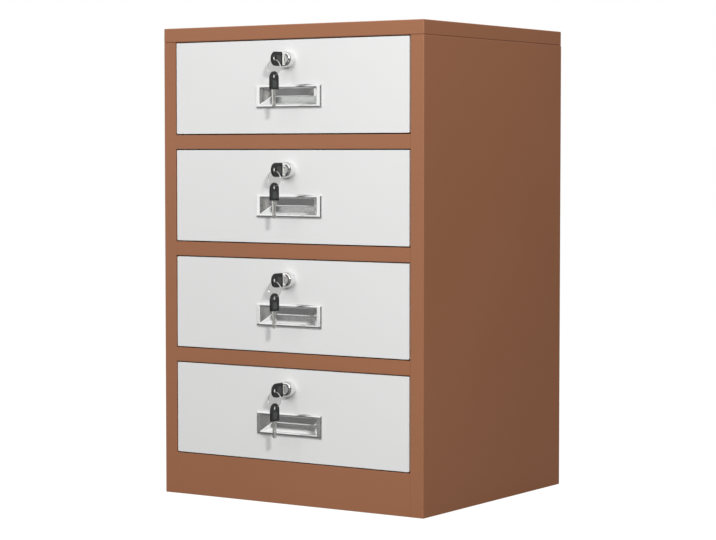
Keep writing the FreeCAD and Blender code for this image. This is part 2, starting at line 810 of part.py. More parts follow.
def key_shape():
    """Key in the lock's frame: plastic bow in front, steel blade behind it."""
    return group([key_bow(), key_blade()])


def key(number):
    return named(at_lock(key_shape(), number), "key_%d" % number)


def key_ring(number):
    """Wire ring through the bow of the key in the lock."""
    body = new_body()
    half = "ring_wire / 2"
    left = "ring_radius - " + half
    right = "ring_radius + " + half
    revolve(body, rectangle(body, "XY_Plane", left, right, "-" + half, half), "Y_Axis")
    y = "-%s - %s" % (HALF_DEPTH, HOLE_FORWARD)
    z = "%s + %s - %s" % (drawer_bottom(number), LOCK_HEIGHT, RING_CENTRE)
    return named(place(body, "0", y, z), "key_ring_%d" % number)


def spare_key(number):
    """Second key, hanging from the ring with its blade down."""
    item = key_shape()
    item.Placement.Rotation = FreeCAD.Rotation(FreeCAD.Vector(1, 0, 0), -90)
    y = "-%s - %s" % (HALF_DEPTH, HOLE_FORWARD)
    z = "%s + %s - %s - %s" % (drawer_bottom(number), LOCK_HEIGHT, SPARE_HOLE, HOLE_FORWARD)
    return named(place(item, "0", y, z), "spare_key_%d" % number)


def build_carcass():
    side_panel("side_panel_left", -1)
    side_panel("side_panel_right", 1)
    top_cap()
    back_panel()
    base_pan()
    channel_between_stiles("plinth", "0", "plinth_height")
    for number in range(1, DRAWERS):
        low = "%s - front_gap - rail_height" % drawer_bottom(number)
        channel_between_stiles("front_rail_%d" % number, low, "rail_height")
    slide_uprights()
    rails = []
    for number in range(1, DRAWERS + 1):
        rails += cabinet_rail(number)
    named(group(rails), "cabinet_rails")
    back_screws()


def build_drawer(number):
    drawer_front(number)
    drawer_tray(number)
    drawer_rails(number)
    handle(number)
    lock_case(number)
    lock_plug(number)
    lock_cam(number)
    key(number)
    key_ring(number)
    spare_key(number)
    roller_pair("front_rollers_%d" % number, number, True)
    roller_pair("rear_rollers_%d" % number, number, False)


def check_document():
    """Stops with a plain message if anything in the document failed."""
    for item in doc.Objects:
        for word in ("Invalid", "Error"):
            if word in item.State:
                raise ValueError("%s (%s) is %s" % (item.Name, item.Label, word))
    for item in parts:
        if item.Shape.isNull() or not item.Shape.isValid():
            raise ValueError(item.Label + " has no valid shape")


def write_parts():
    os.makedirs("parts", exist_ok=True)
    for item in parts:
        item.Shape.exportStep("parts/%s.step" % item.Label)
        print(item.Label, len(item.Shape.Solids), "solids", round(item.Shape.Volume), "mm3")


fill_sheet()
build_carcass()
for drawer in range(1, DRAWERS + 1):
    build_drawer(drawer)
doc.recompute()
check_document()
write_parts()
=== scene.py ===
import json
import math

import bpy
from mathutils import Matrix, Vector

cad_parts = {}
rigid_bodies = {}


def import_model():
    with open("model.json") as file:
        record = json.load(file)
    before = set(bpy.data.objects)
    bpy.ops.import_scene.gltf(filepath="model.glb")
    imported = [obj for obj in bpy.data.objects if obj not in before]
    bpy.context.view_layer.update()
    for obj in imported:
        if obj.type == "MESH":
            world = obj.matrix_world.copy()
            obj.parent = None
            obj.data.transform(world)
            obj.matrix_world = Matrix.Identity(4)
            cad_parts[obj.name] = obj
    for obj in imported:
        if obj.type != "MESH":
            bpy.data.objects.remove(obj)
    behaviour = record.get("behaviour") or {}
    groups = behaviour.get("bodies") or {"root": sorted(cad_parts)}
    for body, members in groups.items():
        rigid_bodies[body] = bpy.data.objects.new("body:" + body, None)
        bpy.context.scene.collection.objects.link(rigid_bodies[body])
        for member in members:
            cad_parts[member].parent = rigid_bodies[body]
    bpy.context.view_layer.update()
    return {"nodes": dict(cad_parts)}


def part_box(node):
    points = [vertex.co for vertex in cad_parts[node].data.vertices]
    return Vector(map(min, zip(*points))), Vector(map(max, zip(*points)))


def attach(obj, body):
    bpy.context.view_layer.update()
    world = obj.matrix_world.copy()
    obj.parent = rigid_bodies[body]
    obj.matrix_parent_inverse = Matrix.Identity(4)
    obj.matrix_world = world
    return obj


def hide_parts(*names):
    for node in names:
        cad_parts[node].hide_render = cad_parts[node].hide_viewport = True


# The looks of a four-drawer steel cabinet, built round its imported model.
# Lengths are in metres. The cabinet stands on the floor and its drawers open towards -Y.
# Pieces of the top drawer are modelled once and copied down to the other three.

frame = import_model()

MM = 0.001
DRAWERS = (1, 2, 3, 4)
AROUND_X = Vector((1, 0, 0))

# Sheet metal: the radius of its bends, how much its cut edges are broken, and how far the sides of
# a drawer's front stand back so that the gap round it shows dark
BEND = 1.4 * MM
FRONT_BEND = 1.2 * MM
FRONT_CORNER = 1.6 * MM
SOFT_BEND = 0.6 * MM
EDGE_BREAK = 0.2 * MM
BEND_STEPS = 4
SMALL_STEPS = 3
FRONT_SHEET = 0.8 * MM
SHADOW_GAP = 0.5 * MM

# Angles in degrees: faces that count as one, edges that count as sharp, and the gentle edges that
# are shaded smooth on sheets, on turned pieces and on wire
SAME_FACE = 0.5
SHARP_FROM = 50
SHEET_ANGLE = 35
TURNED_ANGLE = 40
WIRE_ANGLE = 60

# Cup handle; the lean of its back is in degrees
RIM_EDGE = 0.7 * MM
RIM_ROUND = 3.0 * MM
LIP_ROUND = 1.8 * MM
OPENING_WIDTH = 99.0 * MM
OPENING_HEIGHT = 23.4 * MM
CUP_BACK_WIDTH = 76.0 * MM
CUP_BACK_HEIGHT = 12.6 * MM
CUP_BACK_ROUND = 1.2 * MM
CUP_BACK_LEAN = 12.0
CUP_CORNER = 1.2 * MM
CUP_DEPTH = 12.5 * MM
CUP_WALL = 0.9 * MM

# Cam lock
HEAD_RADIUS = 11.5 * MM
DOME_WIDTH = 3.4 * MM
DOME_RISE = 6.0 * MM
DOME_STEPS = 6
HEAD_BACK_ROUND = 0.8 * MM
LOCK_SIDES = 72
LOCK_EDGE = 0.25 * MM
BARREL_RADIUS = 9.0 * MM
PLUG_PLAY = 0.08 * MM
NUT_THICKNESS = 3.0 * MM
NUT_ACROSS = 24.0 * MM
NUT_EDGE = 0.3 * MM

# Keys, measured along the key from the face of the drawer. The end of the bow is rounded by a
# share of half its width, and the groove lies below the middle of the blade
BOW_NEAR = 18.0 * MM
BOW_FAR = 44.0 * MM
BOW_WIDTH = 20.5 * MM
BOW_THICKNESS = 2.6 * MM
BOW_END_SHARE = 0.995
BOW_END_STEPS = 14
BOW_CORNER = 1.6 * MM
BOW_EDGE = 0.35 * MM
BOW_HOLE = 3.2 * MM
BOW_HOLE_AT = 37.2 * MM
HOLE_SIDES = 48
PANEL_NEAR = 21.0 * MM
PANEL_FAR = 31.0 * MM
PANEL_WIDTH = 10.4 * MM
PANEL_CORNER = 1.5 * MM
PANEL_DEPTH = 0.35 * MM
PANEL_INSET = 0.25 * MM
GROOVE_FROM = 15.0 * MM
GROOVE_PAST_FACE = 7.0 * MM
GROOVE_LOW = 1.9 * MM
GROOVE_HIGH = 0.5 * MM
GROOVE_DEPTH = 0.45 * MM
BLADE_EDGE = 0.12 * MM
RING_RADIUS = 11.0 * MM
RING_WIRE = 1.2 * MM
RING_SIDES = 80
WIRE_SIDES = 14

# Rounding of the rollers' treads
ROLLER_EDGE = 0.6 * MM

# Screws of the back panel
SCREWS_A_SIDE = 3
SCREW_HEAD = 3.8 * MM
SCREW_HEAD_HEIGHT = 1.7 * MM
SCREW_DOME = 1.2 * MM
SCREW_DOME_STEPS = 5
SCREW_SIDES = 48
SCREW_SHANK = 1.9 * MM
SCREW_LENGTH = 9.0 * MM
RECESS_ARM = 4.4 * MM
RECESS_SLOT = 0.9 * MM
RECESS_DEPTH = 1.1 * MM

# Places closer than this are the same, and a face whose normal lies at least this far along Y
# looks straight to the front or to the back
NEAR = 0.01 * MM
STRAIGHT = 0.9


# Places read from the frame

FRONT_LOW, FRONT_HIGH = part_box("drawer_front_1")
FACE_Y = FRONT_LOW.y
DRAWER_PITCH = FRONT_LOW.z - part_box("drawer_front_2")[0].z
PLUG_LOW, PLUG_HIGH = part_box("lock_plug_1")
LOCK_Z = (PLUG_LOW.z + PLUG_HIGH.z) / 2
PLUG_RADIUS = (PLUG_HIGH.z - PLUG_LOW.z) / 2
SIDE_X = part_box("side_panel_right")[1].x
STILE_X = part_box("plinth")[1].x
CABINET_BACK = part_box("side_panel_right")[1].y
CAP_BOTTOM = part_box("top_cap")[0].z
TOP_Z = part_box("top_cap")[1].z


# Working with pieces

def put_down():
    """Leaves edit mode with nothing selected."""
    if bpy.context.object and bpy.context.object.mode != "OBJECT":
        bpy.ops.object.mode_set(mode="OBJECT")
    bpy.ops.object.select_all(action="DESELECT")


def hold(piece):
    """Selects one piece alone."""
    put_down()
    piece.select_set(True)
    bpy.context.view_layer.objects.active = piece


def settle(name):
    """Names the piece just made and works its place and turn into its mesh."""
    piece = bpy.context.object
    piece.name = name
    piece.data.name = name
    hold(piece)
    bpy.ops.object.transform_apply(location=True, rotation=True, scale=True)
    return piece


def block(name, low, high):
    put_down()
    low, high = Vector(low), Vector(high)
    bpy.ops.mesh.primitive_cube_add(size=1, location=(low + high) / 2)
    bpy.ops.transform.resize(value=high - low)
    return settle(name)


def rod(name, radius, front, back, middle, sides, turn=0.0):
    """A cylinder along Y, between two depths, round a middle in X and Z."""
    put_down()
    place = (middle[0], (front + back) / 2, middle[1])
    bpy.ops.mesh.primitive_cylinder_add(
        vertices=sides, radius=radius, depth=back - front, location=place,
        rotation=(math.radians(90), turn, 0))
    return settle(name)


def pick(piece, kind, test):
    """Goes into edit mode with the faces or edges selected that pass a test.
    A face is tested by its centre and normal, an edge by its two ends."""
    hold(piece)
    bpy.ops.object.mode_set(mode="EDIT")
    bpy.ops.mesh.select_mode(type=kind)
    bpy.ops.mesh.select_all(action="DESELECT")
    bpy.ops.object.mode_set(mode="OBJECT")
    mesh = piece.data
    if kind == "FACE":
        for face in mesh.polygons:
            face.select = test(face.center, face.normal)
    else:
        for edge in mesh.edges:
            first, second = edge.vertices
            edge.select = test(mesh.vertices[first].co, mesh.vertices[second].co)
    bpy.ops.object.mode_set(mode="EDIT")


def near(a, b):
    return abs(a - b) < NEAR


def ends(test):
    """A test of edges, passed where both ends of an edge pass a test of their own."""
    return lambda a, b: test(a) and test(b)


def at_depth(y):
    """A test of edges, passed by those that lie at one depth."""
    return ends(lambda p: near(p.y, y))


def along_x(a, b):
    return near(a.y, b.y) and near(a.z, b.z)


def facing_front(centre, normal):
    return normal.y < -STRAIGHT


def facing_back(centre, normal):
    return normal.y > STRAIGHT


def round_off(radius, steps):
    """Rounds the selected edges."""
    bpy.ops.mesh.bevel(
        offset=radius, segments=steps, profile=0.5, affect="EDGES", clamp_overlap=True)


def break_edges(piece, width=EDGE_BREAK):
    """Takes the sharpness off every edge that is still sharp."""
    hold(piece)
    bpy.ops.object.mode_set(mode="EDIT")
    bpy.ops.mesh.select_mode(type="EDGE")
    bpy.ops.mesh.select_all(action="DESELECT")
    bpy.ops.mesh.edges_select_sharp(sharpness=math.radians(SHARP_FROM))
    round_off(width, 1)
    put_down()


def finish_with(piece, kind, **settings):
    """Adds a modifier, sets it and applies it."""
    hold(piece)
    modifier = piece.modifiers.new(kind.title(), kind)
    for setting, value in settings.items():
        setattr(modifier, setting, value)
    bpy.ops.object.modifier_apply(modifier=modifier.name)


def take_away(piece, cutter):
    """Cuts one piece with another, and throws the cutter away."""
    finish_with(piece, "BOOLEAN", operation="DIFFERENCE", object=cutter, solver="EXACT")
    bpy.data.objects.remove(cutter)


def join_to(piece, others):
    hold(piece)
    for other in others:
        other.select_set(True)
    bpy.ops.object.join()
    return piece


def smooth(piece, angle=SHEET_ANGLE):
    """Smooth shading across gentle edges, with the flat faces kept flat."""
    hold(piece)
    bpy.ops.object.shade_smooth_by_angle(angle=math.radians(angle))
    finish_with(piece, "WEIGHTED_NORMAL", keep_sharp=True, weight=100)


def copy_of(piece, name, placement=None):
    """A copy with its own mesh, moved by a placement."""
    mesh = piece.data.copy()
    mesh.name = name
    if placement is not None:
        mesh.transform(placement)
    twin = bpy.data.objects.new(name, mesh)
    bpy.context.scene.collection.objects.link(twin)
    return twin


def sheet_from(node, name):
    """The mesh of a CAD node as a piece of its own, with its triangles merged into whole faces."""
    piece = copy_of(frame["nodes"][node], name)
    hold(piece)
    bpy.ops.object.mode_set(mode="EDIT")
    bpy.ops.mesh.select_all(action="SELECT")
    bpy.ops.mesh.remove_doubles(threshold=NEAR / 2)
    bpy.ops.mesh.dissolve_limited(angle_limit=math.radians(SAME_FACE))
    put_down()
    return piece


def plain_piece(node, name, edge=EDGE_BREAK, angle=SHEET_ANGLE):
    """A piece of the CAD model that only needs the sharpness taken off its edges."""
    piece = sheet_from(node, name)
    break_edges(piece, edge)
    smooth(piece, angle)
    return piece


def wear(piece, material, body, slot, *nodes):
    """Gives a piece its finish, the body that it moves with and the nodes that it stands for."""
    piece.data.materials.clear()
    piece.data.materials.append(material)
    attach(piece, body)
    if nodes:
        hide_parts(*nodes)


# Effects shared by the finishes

# How much of the grain lies over the ripple, and how much duller the patches of a finish are
GRAIN_SHARE = 0.35
PAINT_DULLING = 0.04
PLASTIC_DULLING = 0.08
# Sockets of a mix node for numbers and for colours: its two values and its result
NUMBER_SOCKETS = (2, 3, 0)
COLOUR_SOCKETS = (6, 7, 2)


def effect_group(name, inputs, outputs):
    """An empty effect with number inputs and number outputs."""
    group = bpy.data.node_groups.new(name, "ShaderNodeTree")
    for label, value in inputs:
        socket = group.interface.new_socket(label, in_out="INPUT", socket_type="NodeSocketFloat")
        socket.default_value = value
    for label in outputs:
        group.interface.new_socket(label, in_out="OUTPUT", socket_type="NodeSocketFloat")
    start = group.nodes.new("NodeGroupInput")
    end = group.nodes.new("NodeGroupOutput")
    return group, start, end


def noise_in(tree, detail, scale=None, roughness=0.5):
    """A noise; one without a scale gets it from an input of the effect."""
    noise = tree.nodes.new("ShaderNodeTexNoise")
    noise.inputs["Detail"].default_value = detail
    noise.inputs["Roughness"].default_value = roughness
    if scale is not None:
        noise.inputs["Scale"].default_value = scale
    return noise


def spread(tree, source, low, high):
    """Stretches the span between two values to the whole of 0 to 1."""
    remap = tree.nodes.new("ShaderNodeMapRange")
    remap.inputs["From Min"].default_value = low
    remap.inputs["From Max"].default_value = high
    tree.links.new(source, remap.inputs["Value"])
    return remap.outputs["Result"]


def powder_coat_effect():
    """Baked powder: a fine grain over a soft ripple, and broad patches that are a shade off."""
    group, start, end = effect_group(
        "powder coat", [("Grain", 1400.0), ("Ripple", 260.0)], ["Height", "Patch"])
    place = group.nodes.new("ShaderNodeTexCoord")
    grain = noise_in(group, detail=2.0)
    ripple = noise_in(group, detail=1.0)
    patch = noise_in(group, detail=3.0, scale=3.5)
    for noise in (grain, ripple, patch):
        group.links.new(place.outputs["Object"], noise.inputs["Vector"])
    group.links.new(start.outputs["Grain"], grain.inputs["Scale"])
    group.links.new(start.outputs["Ripple"], ripple.inputs["Scale"])
    blend = group.nodes.new("ShaderNodeMath")
    blend.operation = "MULTIPLY_ADD"
    blend.inputs[1].default_value = GRAIN_SHARE
    group.links.new(grain.outputs["Fac"], blend.inputs[0])
    group.links.new(ripple.outputs["Fac"], blend.inputs[2])
    group.links.new(blend.outputs["Value"], end.inputs["Height"])
    patches = spread(group, patch.outputs["Fac"], low=0.35, high=0.65)
    group.links.new(patches, end.inputs["Patch"])
    return group


def handling_effect():
    """Faint smears from hands and cloths on bare or plated metal."""
    group, start, end = effect_group("handling", [("Size", 45.0)], ["Smear", "Pits"])
    place = group.nodes.new("ShaderNodeTexCoord")
    smear = noise_in(group, detail=4.0, roughness=0.6)
    pits = noise_in(group, detail=2.0, scale=900.0)
    for noise in (smear, pits):
        group.links.new(place.outputs["Object"], noise.inputs["Vector"])
    group.links.new(start.outputs["Size"], smear.inputs["Scale"])
    smears = spread(group, smear.outputs["Fac"], low=0.4, high=0.7)
    group.links.new(smears, end.inputs["Smear"])
    group.links.new(pits.outputs["Fac"], end.inputs["Pits"])
    return group


def new_finish(name):
    material = bpy.data.materials.new(name)
    material.use_nodes = True
    tree = material.node_tree
    shader = tree.nodes["Principled BSDF"]
    return material, tree, shader


def use_effect(tree, group, **values):
    node = tree.nodes.new("ShaderNodeGroup")
    node.node_tree = group
    for label, value in values.items():
        node.inputs[label].default_value = value
    return node


def shade_between(tree, shader, socket, mask, low, high):
    """Runs a colour or a number between two values by a mask."""
    is_colour = socket == "Base Color"
    mix = tree.nodes.new("ShaderNodeMix")
    mix.data_type = "RGBA" if is_colour else "FLOAT"
    first, second, result = COLOUR_SOCKETS if is_colour else NUMBER_SOCKETS
    mix.inputs[first].default_value = low
    mix.inputs[second].default_value = high
    tree.links.new(mask, mix.inputs[0])
    tree.links.new(mix.outputs[result], shader.inputs[socket])


def dent(tree, shader, height, strength, depth):
    """Gives a surface the relief of an effect, with its depth in metres."""
    bump = tree.nodes.new("ShaderNodeBump")
    bump.inputs["Strength"].default_value = strength
    bump.inputs["Distance"].default_value = depth
    tree.links.new(height, bump.inputs["Height"])
    tree.links.new(bump.outputs["Normal"], shader.inputs["Normal"])


def painted(name, colour, other_colour, roughness, ripple, sheen):
    """A powder-coated sheet; its sheen is how strongly the surface mirrors."""
    material, tree, shader = new_finish(name)
    shader.inputs["Specular IOR Level"].default_value = sheen
    coat = use_effect(tree, powder_coat, Ripple=ripple)
    shade_between(tree, shader, "Base Color", coat.outputs["Patch"], colour, other_colour)
    duller = roughness + PAINT_DULLING
    shade_between(tree, shader, "Roughness", coat.outputs["Patch"], roughness, duller)
    dent(tree, shader, coat.outputs["Height"], strength=0.12, depth=0.00012)
    return material


def plated(name, colour, roughness, dull):
    """Bare or plated metal, a little duller where it has been handled."""
    material, tree, shader = new_finish(name)
    hands = use_effect(tree, handling)
    shader.inputs["Base Color"].default_value = colour
    shader.inputs["Metallic"].default_value = 1.0
    shade_between(tree, shader, "Roughness", hands.outputs["Smear"], roughness, roughness + dull)
    dent(tree, shader, hands.outputs["Pits"], strength=0.03, depth=0.00005)
    return material


def moulded(name, colour, other_colour, roughness):
    """Moulded plastic with a fine spark-eroded skin."""
    material, tree, shader = new_finish(name)
    shader.inputs["Specular IOR Level"].default_value = 0.3
    skin = use_effect(tree, powder_coat, Grain=2600.0, Ripple=900.0)
    shade_between(tree, shader, "Base Color", skin.outputs["Patch"], colour, other_colour)
    duller = roughness + PLASTIC_DULLING
    shade_between(tree, shader, "Roughness", skin.outputs["Patch"], roughness, duller)
    dent(tree, shader, skin.outputs["Height"], strength=0.15, depth=0.00005)
    return material


powder_coat = powder_coat_effect()
handling = handling_effect()

copper_brown = painted(
    "copper-brown powder coat", (0.320, 0.132, 0.064, 1), (0.331, 0.139, 0.069, 1),
    roughness=0.42, ripple=260.0, sheen=0.42)
light_grey = painted(
    "light grey powder coat", (0.765, 0.765, 0.762, 1), (0.780, 0.780, 0.776, 1),
    roughness=0.42, ripple=220.0, sheen=0.4)
zinc = plated("bright zinc plate", (0.62, 0.63, 0.64, 1), roughness=0.30, dull=0.12)
chrome = plated("pressed chrome plate", (0.88, 0.885, 0.88, 1), roughness=0.17, dull=0.05)
bright_chrome = plated("polished chrome plate", (0.86, 0.865, 0.86, 1), roughness=0.07, dull=0.04)
satin_chrome = plated("satin chrome plate", (0.94, 0.94, 0.935, 1), roughness=0.50, dull=0.06)
nickel = plated("nickel-plated wire", (0.74, 0.735, 0.72, 1), roughness=0.26, dull=0.08)
blade_steel = plated("nickel-plated key blade", (0.70, 0.69, 0.66, 1), roughness=0.22, dull=0.10)
black_plastic = moulded(
    "black moulded plastic", (0.008, 0.0085, 0.0085, 1), (0.012, 0.0125, 0.0125, 1), roughness=0.38)
grey_plastic = moulded(
    "dark grey textured plastic", (0.050, 0.058, 0.054, 1), (0.060, 0.068, 0.064, 1),
    roughness=0.50)
white_nylon = moulded(
    "natural white nylon", (0.78, 0.77, 0.72, 1), (0.82, 0.81, 0.77, 1), roughness=0.42)


# Carcass

def side_sheet(side, node):
    """One side with its stile: rounded where it folds, square where the rails are welded to it."""
    piece = sheet_from(node, node + "_sheet")
    outer, inner = side * SIDE_X, side * STILE_X
    front_fold = ends(lambda p: near(p.x, outer) and near(p.y, FACE_Y))
    top_fold = ends(lambda p: near(p.x, outer) and near(p.z, CAP_BOTTOM))
    pick(piece, "EDGE", lambda a, b: front_fold(a, b) or top_fold(a, b))
    round_off(BEND, BEND_STEPS)
    for x, y in ((outer, CABINET_BACK), (inner, FACE_Y)):
        pick(piece, "EDGE", ends(lambda p: near(p.x, x) and near(p.y, y)))
        round_off(EDGE_BREAK * 2, 2)
    smooth(piece)
    wear(piece, copper_brown, "cabinet", "carcass_paint", node)


def cap_sheet():
    """The folded lid, with every outer edge a bend."""
    piece = sheet_from("top_cap", "folded_lid")

    def outer(p):
        on_side = near(abs(p.x), SIDE_X) or near(p.y, FACE_Y) or near(p.y, CABINET_BACK)
        return on_side and (near(p.z, CAP_BOTTOM) or near(p.z, TOP_Z))

    pick(piece, "EDGE", ends(outer))
    round_off(BEND, BEND_STEPS)
    break_edges(piece)
    smooth(piece)
    wear(piece, copper_brown, "cabinet", "carcass_paint", "top_cap")


def rail_sheet(node):
    """A folded rail between the stiles; its ends are welded flush, so they stay square."""
    piece = sheet_from(node, node + "_sheet")
    at_face = at_depth(FACE_Y)
    pick(piece, "EDGE", lambda a, b: at_face(a, b) and near(a.z, b.z))
    round_off(SOFT_BEND, SMALL_STEPS)
    smooth(piece)
    wear(piece, copper_brown, "cabinet", "carcass_paint", node)


def plain_sheet(node, name, material, slot):
    wear(plain_piece(node, name), material, "cabinet", slot, node)


side_sheet(-1, "side_panel_left")
side_sheet(1, "side_panel_right")
cap_sheet()
for rail in ("plinth", "front_rail_1", "front_rail_2", "front_rail_3"):
    rail_sheet(rail)
plain_sheet("back_panel", "back_sheet", copper_brown, "carcass_paint")
plain_sheet("base_pan", "floor_sheet", copper_brown, "carcass_paint")
plain_sheet("slide_uprights", "runner_uprights", zinc, "zinc_steel")
plain_sheet("cabinet_rails", "fixed_runners", zinc, "zinc_steel")


# Screws of the back panel

def cross_recess(piece, head_top, depth, middle):
    """Presses a cross for the screwdriver into a head that faces +Y."""
    for wide, tall in ((RECESS_ARM, RECESS_SLOT), (RECESS_SLOT, RECESS_ARM)):
        low = (middle[0] - wide / 2, head_top - depth, middle[1] - tall / 2)
        high = (middle[0] + wide / 2, head_top + MM, middle[1] + tall / 2)
        take_away(piece, block("cutter", low, high))


def pan_head_screw(middle, panel_y):
    """Domed head with a cross recess, and the shank that goes through the panel."""
    head_top = panel_y + SCREW_HEAD_HEIGHT
    screw = rod("pan_head_screws", SCREW_HEAD, panel_y, head_top, middle, SCREW_SIDES)
    pick(screw, "EDGE", at_depth(head_top))
    round_off(SCREW_DOME, SCREW_DOME_STEPS)
    pick(screw, "FACE", facing_front)
    bpy.ops.mesh.inset(thickness=SCREW_HEAD - SCREW_SHANK)
    bpy.ops.mesh.extrude_region_move(TRANSFORM_OT_translate={"value": (0, -SCREW_LENGTH, 0)})
    cross_recess(screw, head_top, RECESS_DEPTH, middle)
    smooth(screw, TURNED_ANGLE)
    return screw


def back_screws():
    """One screw modelled, and copied to every place where the CAD model has one."""
    low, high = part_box("back_screws")
    panel_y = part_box("back_panel")[1].y
    columns = (low.x + SCREW_HEAD, high.x - SCREW_HEAD)
    bottom = low.z + SCREW_HEAD
    step = (high.z - low.z - 2 * SCREW_HEAD) / (SCREWS_A_SIDE - 1)
    first = pan_head_screw((columns[0], bottom), panel_y)
    others = []
    for column in columns:
        for row in range(SCREWS_A_SIDE):
            if column == columns[0] and row == 0:
                continue
            offset = Matrix.Translation((column - columns[0], 0, row * step))
            others.append(copy_of(first, "screw", offset))
    screws = join_to(first, others)
    wear(screws, zinc, "cabinet", "zinc_steel", "back_screws")


back_screws()


# Drawers

def each_drawer(piece, name, material, body, slot, *nodes):
    """Copies a piece of the top drawer to all four, each with its own mesh, and finishes them."""
    for number in DRAWERS:
        offset = Matrix.Translation((0, 0, -DRAWER_PITCH * (number - 1)))
        twin = piece if number == 1 else copy_of(piece, name, offset)
        twin.name = "%s_%d" % (name, number)
        stands_for = ["%s_%d" % (node, number) for node in nodes]
        wear(twin, material, "%s_%d" % (body, number), slot, *stands_for)


def drawer_front():
    """Folded front: its four front edges and its corners are bends. Its sides and bottom stand
    back a little, so that the gap round it shows as dark as it does on the real one."""
    piece = sheet_from("drawer_front_1", "folded_front")
    low, high = FRONT_LOW, FRONT_HIGH
    pick(piece, "FACE", lambda centre, normal: centre.x < low.x + MM)
    bpy.ops.transform.translate(value=(SHADOW_GAP, 0, 0))
    pick(piece, "FACE", lambda centre, normal: centre.x > high.x - MM)
    bpy.ops.transform.translate(value=(-SHADOW_GAP, 0, 0))
    pick(piece, "FACE", lambda centre, normal: centre.z < low.z + MM)
    bpy.ops.transform.translate(value=(0, 0, SHADOW_GAP / 2))
    low = low + Vector((SHADOW_GAP, 0, SHADOW_GAP / 2))
    high = high - Vector((SHADOW_GAP, 0, 0))

    def by_outline(p):
        level_middle = low.x + FRONT_CORNER < p.x < high.x - FRONT_CORNER
        upright_middle = low.z + FRONT_CORNER < p.z < high.z - FRONT_CORNER
        return near(p.y, FACE_Y) and not (level_middle and upright_middle)

    def corner(a, b):
        along_y = near(a.x, b.x) and near(a.z, b.z)
        at_side = near(a.x, low.x) or near(a.x, high.x)
        at_end = near(a.z, low.z) or near(a.z, high.z)
        return along_y and at_side and at_end

    pick(piece, "EDGE", corner)
    round_off(FRONT_CORNER, BEND_STEPS)
    pick(piece, "EDGE", ends(by_outline))
    round_off(FRONT_BEND, BEND_STEPS)
    break_edges(piece)
    smooth(piece)
    return piece


def roll_over(width, rise, steep_first, steps=BEND_STEPS):
    """Carries the selected face inwards and up over a quarter-round; a negative rise takes it
    down. The round starts steep or flat."""
    inwards = upwards = 0.0
    for step in range(1, steps + 1):
        turn = math.radians(90) * step / steps
        slow, fast = 1 - math.cos(turn), math.sin(turn)
        next_in = width * (slow if steep_first else fast)
        next_up = rise * (fast if steep_first else slow)
        bpy.ops.mesh.inset(thickness=next_in - inwards, depth=next_up - upwards)
        inwards, upwards = next_in, next_up


def cup_handle():
    """Pressed handle: a rim with rolled edges round a cup that slopes up to a shorter back."""
    low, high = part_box("handle_1")
    wide, tall = high.x - low.x, high.z - low.z
    middle_z = (low.z + high.z) / 2
    top_z = middle_z + OPENING_HEIGHT / 2
    proud = FACE_Y - low.y
    handle = block("cup_handle", (low.x, FACE_Y - RIM_EDGE, low.z), (high.x, FACE_Y, high.z))
    pick(handle, "FACE", facing_back)
    bpy.ops.mesh.delete(type="FACE")

    # The rim, up over its outer edge and down over the lip of the opening
    pick(handle, "FACE", facing_front)
    roll_over(RIM_ROUND, proud - RIM_EDGE, True)
    strip = (tall - OPENING_HEIGHT) / 2
    bpy.ops.mesh.inset(thickness=strip - RIM_ROUND - LIP_ROUND)
    squeeze = (OPENING_WIDTH + 2 * LIP_ROUND) / (wide - 2 * strip + 2 * LIP_ROUND)
    bpy.ops.transform.resize(value=(squeeze, 1, 1), center_override=(0, low.y, middle_z))
    roll_over(LIP_ROUND, -LIP_ROUND, False)

    # The cup, whose back leans forward towards the top
    depth = CUP_DEPTH - LIP_ROUND - CUP_BACK_ROUND
    bpy.ops.mesh.extrude_region_move(TRANSFORM_OT_translate={"value": (0, depth, 0)})
    shrink = (CUP_BACK_WIDTH / OPENING_WIDTH, 1, CUP_BACK_HEIGHT / OPENING_HEIGHT)
    bpy.ops.transform.resize(value=shrink, center_override=(0, low.y, top_z))
    roll_over(CUP_BACK_ROUND, -CUP_BACK_ROUND, True)
    hinge = (0, low.y + CUP_DEPTH, top_z - CUP_BACK_ROUND)
    lean = math.radians(-CUP_BACK_LEAN)
    bpy.ops.transform.rotate(value=lean, orient_axis="X", center_override=hinge)

    def mitre(a, b):
        upright = near(a.x, b.x) and not near(a.z, b.z)
        return not along_x(a, b) and not upright

    pick(handle, "EDGE", mitre)
    round_off(CUP_CORNER, SMALL_STEPS)
    finish_with(handle, "SOLIDIFY", thickness=CUP_WALL, offset=-1.0, use_even_offset=True)
    smooth(handle, TURNED_ANGLE)
    return handle


